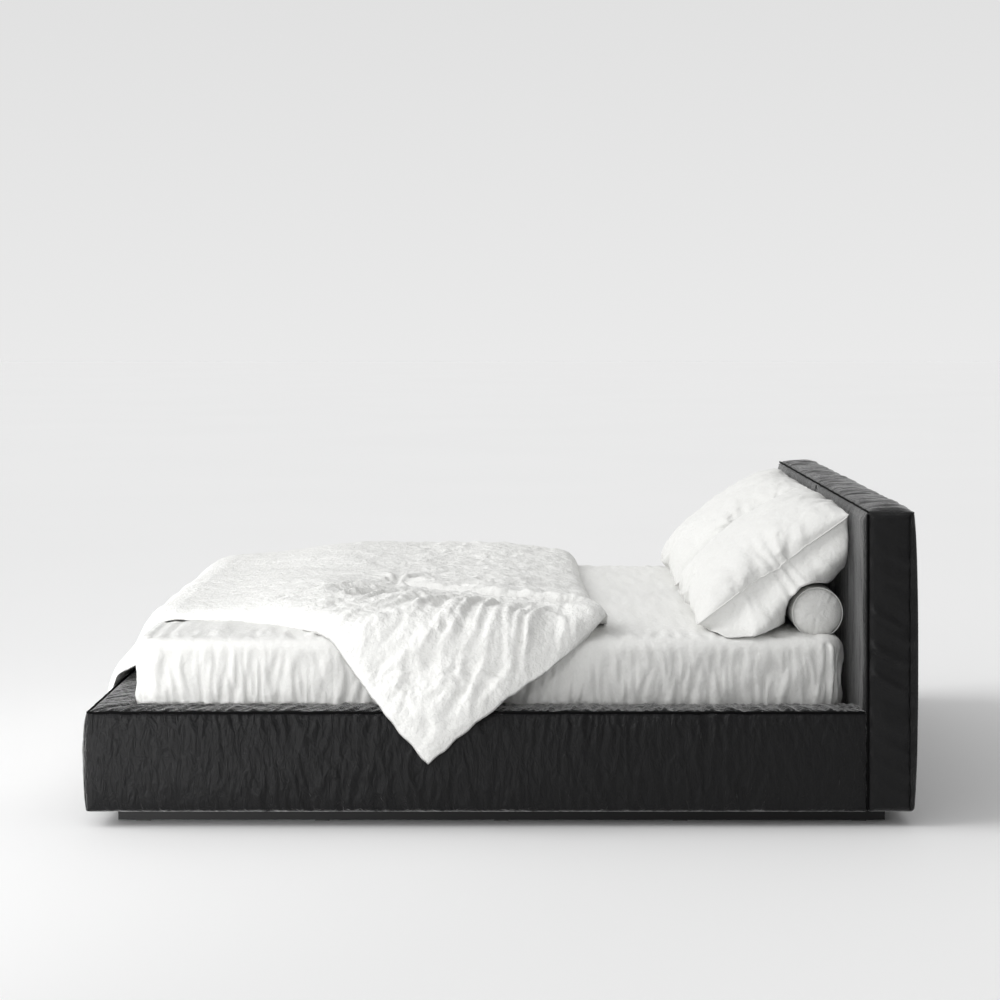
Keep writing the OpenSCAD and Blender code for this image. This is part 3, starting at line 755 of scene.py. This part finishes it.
for side, end in ((-1, "near"), (1, "far")):
    path = np.stack([bolster_x + seam_ring_r * np.cos(ring),
                     np.full_like(ring, side * (bolster_half - 0.0055)),
                     bolster_z + seam_ring_r * np.sin(ring)], 1)
    path[:, 2] = np.maximum(path[:, 2], 0.5066)
    trim("bolster_seam_" + end, path, 0.0014, 6, pillow_linen, "bolster", "linen")


# ---- pillows
# Two plump pillows in plain linen cases, each sewn from two rectangles, stuffed, and set
# leaning between mattress, bolster and headboard; the seam shows as a fine welt.
def two_layers(rows, cols):
    """Numbering and faces of two layers of a grid sewn together round their border."""
    top = np.arange(rows * cols).reshape(rows, cols)
    low = np.full((rows, cols), -1)
    low[0, :], low[-1, :] = top[0, :], top[-1, :]
    low[:, 0], low[:, -1] = top[:, 0], top[:, -1]
    inside = low < 0
    low[inside] = rows * cols + np.arange(inside.sum())
    a = np.stack([top[:-1, :-1], top[1:, :-1], top[1:, 1:], top[:-1, 1:]], -1).reshape(-1, 4)
    b = np.stack([low[:-1, :-1], low[:-1, 1:], low[1:, 1:], low[1:, :-1]], -1).reshape(-1, 4)
    return np.concatenate([a, b]), inside


stuffing_frames = 26


def stuffed(cut_u, cut_v, rows, cols, seed):
    """A pillow blown up by cloth simulation from two flat panels; points round its middle."""
    u, v = np.meshgrid(np.linspace(-1.0, 1.0, rows), np.linspace(-1.0, 1.0, cols),
                       indexing="ij")
    faces, inside = two_layers(rows, cols)
    slack = (1.0 - u ** 2) * (1.0 - v ** 2)
    crease = 0.004 * noise(u * 9.0, v * 12.0, seed)
    top = np.stack([u * cut_u / 2, v * cut_v / 2, 0.012 * slack + crease * slack], -1)
    low = np.stack([u * cut_u / 2, v * cut_v / 2, -0.012 * slack + crease * slack], -1)
    points = np.concatenate([top.reshape(-1, 3), low[inside]])
    case = sheet_of_points("pillow_being_stuffed", points, faces)
    cloth = case.modifiers.new("stuffing", "CLOTH")
    for key, value in (("quality", 6), ("mass", 0.25), ("tension_stiffness", 18.0),
                       ("compression_stiffness", 18.0), ("shear_stiffness", 6.0),
                       ("bending_stiffness", 0.25), ("air_damping", 2.0),
                       ("use_pressure", True), ("uniform_pressure_force", 9.0)):
        setattr(cloth.settings, key, value)
    cloth.settings.effector_weights.gravity = 0.0
    cloth.collision_settings.use_collision = False
    scene = bpy.context.scene
    for step in range(1, stuffing_frames + 1):
        scene.frame_set(step)
    blown = case.evaluated_get(bpy.context.evaluated_depsgraph_get())
    moved = np.array([p.co for p in blown.data.vertices], float)
    bpy.data.objects.remove(case)
    scene.frame_set(1)
    top = moved[:rows * cols].reshape(rows, cols, 3)
    low = top.copy()
    low[inside] = moved[rows * cols:]
    for layer in (top, low):
        for _ in range(5):
            layer[1:-1, 1:-1] = 0.5 * layer[1:-1, 1:-1] + 0.125 * (
                layer[:-2, 1:-1] + layer[2:, 1:-1] + layer[1:-1, :-2] + layer[1:-1, 2:])
    return top, low, faces, inside


def pull_straight(top, low, share):
    """Takes back most of the inward curve of the seams between the corners."""
    for axis, edges in ((0, (top[:1], top[-1:])), (1, (top[:, :1], top[:, -1:]))):
        first, last = edges[0][..., axis].copy(), edges[1][..., axis].copy()
        for layer in (top, low):
            part = (layer[..., axis] - first) / (last - first)
            straight = first.min() + part * (last.max() - first.min())
            layer[..., axis] = (1.0 - share) * layer[..., axis] + share * straight


pillow_rows, pillow_cols = 74, 100
slope = math.radians(36.2)
slope_x, slope_z = math.cos(slope), math.sin(slope)
upper, lower, pillow_faces, inside = stuffed(0.60, 0.82, pillow_rows, pillow_cols, 601)
pull_straight(upper, lower, 0.86)
plump = np.concatenate([upper.reshape(-1, 3), lower[inside]])
span = plump.max(axis=0) - plump.min(axis=0)


def settle(local, side):
    """Lays the stuffed pillow on its slope and presses it against what it leans on."""
    u = local[:, 0] * 0.540 / span[0]
    v = local[:, 1] * 0.755 / span[1]
    w = local[:, 2]
    thick = max(w.max(), 1e-6)
    up = (0.102 if side < 0 else 0.096) * np.clip(w / thick, 0.0, 1.0) ** 0.85
    down = 0.170 * np.clip(-w / thick, 0.0, 1.0) ** 0.60
    w = np.where(w > 0.0, up, -down)
    from_end, from_long = 0.3775 - np.abs(v), 0.270 - np.abs(u)
    drawn = (0.0068 * noise(u / 0.030 + 0.8 * v, from_end / 0.16 + side, 611)
             + 0.0026 * noise(u / 0.014, from_end / 0.07, 612)) * np.exp(-from_end / 0.13)
    drawn = drawn + (0.0058 * noise(v / 0.034 + 0.8 * u, from_long / 0.16 + side, 613)
                     + 0.0022 * noise(v / 0.016, from_long / 0.07, 614)) * np.exp(
                         -from_long / 0.11)
    drawn = (drawn + 0.0035 * noise(u / 0.09, v / 0.12, 615)
             + 0.0016 * noise(u / 0.03, v / 0.04, 616))
    w = w + np.sign(w) * drawn * smooth(0.0, 0.03, np.abs(w))
    bag = smooth(-0.02, -0.10, w) * smooth(0.15, 0.36, side * v)
    v = v + side * bag * (0.050 + 0.060 * smooth(0.05, -0.20, u))
    x = 0.7765 + u * slope_x - w * slope_z - 0.045 * bag * smooth(-0.05, -0.20, u)
    z = 0.6890 + u * slope_z + w * slope_x
    y = side * 0.445 + v
    sink = smooth(0.0, -0.06, w) * smooth(-0.02, -0.20, u)
    z = z - 0.035 * sink - 0.020 * bag * smooth(0.05, -0.2, u)
    floor_z = 0.5060 - 0.30 * np.maximum(np.abs(y) - 0.850, 0.0)
    z = np.where(z < floor_z + 0.02, floor_z + 0.02 * np.exp((z - floor_z - 0.02) / 0.05), z)
    dx, dz = x - bolster_x, z - bolster_z
    gap = np.hypot(dx, dz)
    clear = 0.0800
    push = np.where(gap < clear + 0.02, clear + 0.02 * np.exp((gap - clear - 0.02) / 0.03), gap)
    k = 1.0 + (push / np.maximum(gap, 1e-6) - 1.0)
    x, z = bolster_x + dx * k, bolster_z + dz * k
    wall = 0.9945
    x = np.where(x > wall - 0.012, wall - 0.012 * np.exp(-(x - wall + 0.012) / 0.02), x)
    return np.stack([x, y, z], 1)


for name, side, mirrored in (("near", -1, 1.0), ("far", 1, -1.0)):
    local = plump.copy()
    local[:, 1] *= mirrored
    shaped = settle(local, side)
    faces = pillow_faces if mirrored > 0 else pillow_faces[:, ::-1]
    pillow = cloth_piece(name + "_pillow_linen", shaped, faces[:, ::-1], pillow_linen,
                         "pillow_" + name, "linen")
    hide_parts("pillowcase_" + name)
    border = np.arange(pillow_rows * pillow_cols).reshape(pillow_rows, pillow_cols)
    loop = np.concatenate([border[:, 0], border[-1, 1:], border[-2::-1, -1], border[0, -2::-1]])
    trim(name + "_pillow_seam", shaped[loop], 0.0022, 6, pillow_linen, "pillow_" + name, "linen")


# ---- duvet
# A thick duvet in a crinkled linen cover, pulled askew: its near head corner hangs over the
# side rail in a point, its foot end runs over the foot rail, and a deep pleat runs in from
# the head edge to a pinched tuft where the cloth has been dragged round.
duvet_linen = washed_linen("crinkled_linen_duvet", "#EFEFED", "#E6E6E3", 85.0, 6.5)


def through(corners, n):
    """n points evenly spaced along a smooth line through the corners."""
    c = np.array(corners, float)
    for _ in range(3):
        q = 0.75 * c[:-1] + 0.25 * c[1:]
        r = 0.25 * c[:-1] + 0.75 * c[1:]
        c = np.concatenate([c[:1], np.stack([q, r], 1).reshape(-1, 2)[1:-1], c[-1:]])
    gone = np.concatenate([[0.0], np.cumsum(np.linalg.norm(np.diff(c, axis=0), axis=1))])
    want = np.linspace(0.0, gone[-1], n)
    return np.stack([np.interp(want, gone, c[:, 0]), np.interp(want, gone, c[:, 1])], 1)


rows, cols = 380, 270
head_edge = through([(-0.200, -1.275), (-0.07, -1.160), (0.11, -1.020), (0.250, -0.905),
                     (0.300, -0.845), (0.306, -0.76), (0.284, -0.40), (0.262, 0.20),
                     (0.260, 0.80), (0.258, 1.14)], rows)
near_edge = through([(-0.200, -1.275), (-0.34, -1.115), (-0.47, -0.925), (-0.59, -0.755),
                     (-0.76, -0.630), (-0.98, -0.565), (-1.15, -0.555), (-1.36, -0.57)], cols)
foot_edge = through([(-1.36, -0.57), (-1.37, 0.2), (-1.36, 1.14)], rows)
far_edge = through([(0.258, 1.14), (-0.5, 1.16), (-1.36, 1.14)], cols)
s = np.linspace(0.0, 1.0, rows)[:, None, None]
t = np.linspace(0.0, 1.0, cols)[None, :, None]
flat = ((1 - t) * head_edge[:, None, :] + t * foot_edge[:, None, :]
        + (1 - s) * near_edge[None, :, :] + s * far_edge[None, :, :]
        - ((1 - s) * (1 - t) * head_edge[0] + (1 - s) * t * near_edge[-1]
           + s * (1 - t) * head_edge[-1] + s * t * far_edge[-1]))
fx, fy = flat[..., 0], flat[..., 1]


def over_edge(beyond, route):
    """Follows a route of (out, height) points by the length that lies beyond its start."""
    route = through(route, 200)
    gone = np.concatenate([[0.0], np.cumsum(np.linalg.norm(np.diff(route, axis=0), axis=1))])
    d = np.maximum(beyond, 0.0)
    return np.interp(d, gone, route[:, 0]), np.interp(d, gone, route[:, 1])


bed_top = 0.514
near_out, near_z = over_edge(-0.85 - fy, [(0.85, bed_top), (0.905, 0.508), (0.940, 0.470),
                                          (1.006, 0.366), (1.036, 0.334), (1.050, 0.29),
                                          (1.053, 0.20), (1.051, 0.05)])
far_out, far_z = over_edge(fy - 0.85, [(0.85, bed_top), (0.905, 0.508), (0.935, 0.470),
                                       (0.985, 0.375), (1.020, 0.346), (1.048, 0.328),
                                       (1.062, 0.27), (1.066, 0.16), (1.066, 0.0)])
foot_away, foot_z = over_edge(-0.97 - fx, [(0.97, bed_top), (1.030, 0.503), (1.078, 0.455),
                                           (1.124, 0.375), (1.148, 0.338), (1.162, 0.30),
                                           (1.170, 0.20), (1.170, 0.05)])
wrap = np.exp(-s[..., 0] * 1.7 / 0.13) * smooth(0.34, 0.42, foot_z)
foot_away = foot_away - 0.80 * wrap * np.maximum(foot_away - 1.035, 0.0)
bx = np.where(fx < -0.97, -foot_away, fx)
by = np.where(fy < -0.85, -near_out, np.where(fy > 0.85, far_out, fy))
drop_y = np.where(fy < -0.85, bed_top - near_z, np.where(fy > 0.85, bed_top - far_z, 0.0))
drop_x = np.where(fx < -0.97, bed_top - foot_z, 0.0)
in_from = np.minimum(np.minimum(s[..., 0] * 2.3, (1 - s[..., 0]) * 2.3),
                     np.minimum(t[..., 0] * 1.5, (1 - t[..., 0]) * 1.5))
corner_lift = 0.050 * np.exp(-(np.hypot(fx - 0.310, fy + 0.830) / 0.085) ** 2)
bz = bed_top - np.hypot(drop_x, drop_y) + corner_lift - 0.007 * np.exp(-in_from / 0.05)
past_rail = np.maximum(np.maximum(-1.130 - bx, -1.010 - by), np.maximum(by - 1.022, 0.0))
rail_top = 0.334 - 0.060 * (past_rail / 0.022) ** 3
bz = 0.5 * (bz + rail_top + np.sqrt((bz - rail_top) ** 2 + 0.012 ** 2))
base = np.stack([bx, by, bz], -1)
normal = np.cross(np.gradient(base, axis=0), np.gradient(base, axis=1))
normal /= np.maximum(np.linalg.norm(normal, axis=2, keepdims=True), 1e-9)
if normal[rows // 2, cols // 2, 2] < 0:
    normal = -normal

pleat_points = 240
pleat = through([(0.330, -0.800), (0.208, -0.765), (0.043, -0.690), (-0.060, -0.630),
                 (-0.190, -0.500), (-0.328, -0.300)], pleat_points)
lead = np.gradient(pleat, axis=0)
which = np.empty(fx.shape, int)
for i in range(rows):
    which[i] = np.linalg.norm(flat[i, :, None, :] - pleat[None, :, :], axis=2).argmin(axis=1)
off = flat - pleat[which]
side_of = lead[which][..., 0] * off[..., 1] - lead[which][..., 1] * off[..., 0]
away = np.where(side_of < 0.0, 1.0, -1.0) * np.linalg.norm(off, axis=2)
along = which / (pleat_points - 1.0)
edge = 1.0 - np.exp(-in_from / 0.022)
hanging = smooth(0.0, 0.10, drop_y + drop_x)
full = 0.026 + 0.046 * (1.0 - hanging) * smooth(-1.02, -0.50, fx)
loft = full * edge * (0.70 + 0.30 * smooth(0.0, 0.30, in_from))
loft = loft + 0.007 * noise(fx / 0.33, fy / 0.40, 701) * edge * smooth(-1.1, -0.6, fx)

fade = 1.0 - 0.55 * along
mouth = np.exp(-along / 0.10)
valley = -0.030 * (1.0 + 0.9 * mouth) * np.exp(-(away / (0.016 - 0.006 * mouth)) ** 2) * fade
bank_mid = 0.066 - 0.020 * (1.0 - along) + 0.010 * noise(along * 4.0, np.zeros_like(along), 731)
bank = 0.028 * np.exp(-(np.abs(away - bank_mid) / 0.056) ** 2) * fade * (1.0 - 0.5 * along)
bank = bank * (1.0 + 0.16 * noise(along * 22.0, away / 0.12, 732))
lip = 0.006 * np.exp(-((away + 0.040) / 0.026) ** 2) * fade
heading = lead[-1] / np.linalg.norm(lead[-1])
beyond = np.where(which == pleat_points - 1, np.maximum((off * heading).sum(axis=2), 0.0), 0.0)
ending = np.exp(-(beyond / 0.20) ** 2)
corner_side = smooth(-0.025, -0.17, away) * ending
fan = along * 0.80 + 0.30 * np.maximum(-away, 0.0) * (0.6 - along)
fan = fan + 0.02 * noise(along * 8.0, away / 0.12, 703)
folds = (1.0 - 2.8 * np.abs(noise(fan / 0.054, away / 0.42, 704))
         + 0.6 * (1.0 - 2.6 * np.abs(noise(fan / 0.027, away / 0.22, 705))))
gather = 0.0120 * folds * corner_side * (0.35 + 0.65 * smooth(0.60, 0.10, -away)) * edge
gather = gather + (0.0017 * noise(fan / 0.013, away / 0.045, 714) * smooth(0.0, -0.03, away)
                   * ending * edge)
from_tuft_x, from_tuft_y = fx + 0.335, fy + 0.290
rho = np.hypot(from_tuft_x, from_tuft_y)
spoke = np.arctan2(from_tuft_y, from_tuft_x)
rays = noise(np.cos(spoke) * 3.4 + rho * 1.5, np.sin(spoke) * 3.4 - rho, 706)
star = 0.012 * rays * np.exp(-rho / 0.26) * smooth(0.01, 0.07, rho)
dimple = -0.030 * np.exp(-(rho / 0.045) ** 2)
rough_part = 0.35 + 0.65 * smooth(-0.62, -0.20, fx)
warp_x = fx + 0.03 * noise(fx / 0.12, fy / 0.10, 707)
warp_y = fy + 0.03 * noise(fx / 0.11, fy / 0.13, 708)
crumple = 1.0 - 2.4 * np.abs(noise(warp_x / 0.075, warp_y / 0.055, 709))
small = 1.0 - 2.2 * np.abs(noise(warp_x / 0.036, warp_y / 0.030, 710))
cross = noise(warp_y / 0.030 + 0.6 * warp_x, warp_x / 0.16, 711)
strokes = noise(warp_y / 0.015, warp_x / 0.046, 715)
field = (0.0042 * crumple + 0.0028 * small + 0.0036 * cross
         + 0.0019 * strokes * (1.0 + (smooth(-0.02, 0.03, away) - 1.0) * ending))
field = field * rough_part * edge
drawn = 0.005 * noise(np.cos(spoke) * 5.0 + rho / 0.5, np.sin(spoke) * 5.0, 712)
drawn = drawn * smooth(0.15, 0.5, rho) * smooth(0.0, -0.5, fx)
wrinkle = (valley + bank + lip) * edge + gather + (star + dimple) * edge + field + drawn * edge
upper = base + normal * (loft + wrinkle)[..., None]
tuck_in = 0.024 * np.exp(-((away - 0.026) / 0.022) ** 2) * fade * (1.0 - along) * edge
push = np.stack([lead[which][..., 1], -lead[which][..., 0]], -1)
push /= np.linalg.norm(push, axis=2, keepdims=True)
flip = -1.0 if (push * (flat - pleat.mean(axis=0))).sum(axis=2).mean() > 0.0 else 1.0
upper[..., :2] += flip * push * tuck_in[..., None]
under = base + normal * (0.25 * gather + 0.002 * hanging)[..., None]
knit = 0.006 * noise(fx / 0.05, fy / 0.05, 713) * (1.0 - edge)
upper[..., 2] += knit
faces, inside = two_layers(rows, cols)
duvet = cloth_piece("duvet_linen", np.concatenate([upper.reshape(-1, 3), under[inside]]), faces,
                    duvet_linen, "duvet", "linen")
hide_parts("duvet_cover", "duvet_filling")


# ---- fillings
# Down and feather inside the pillows and bolster never show; each case stands for its own.
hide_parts("bolster_core")
for name in ("near", "far"):
    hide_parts("pillow_filling_" + name)
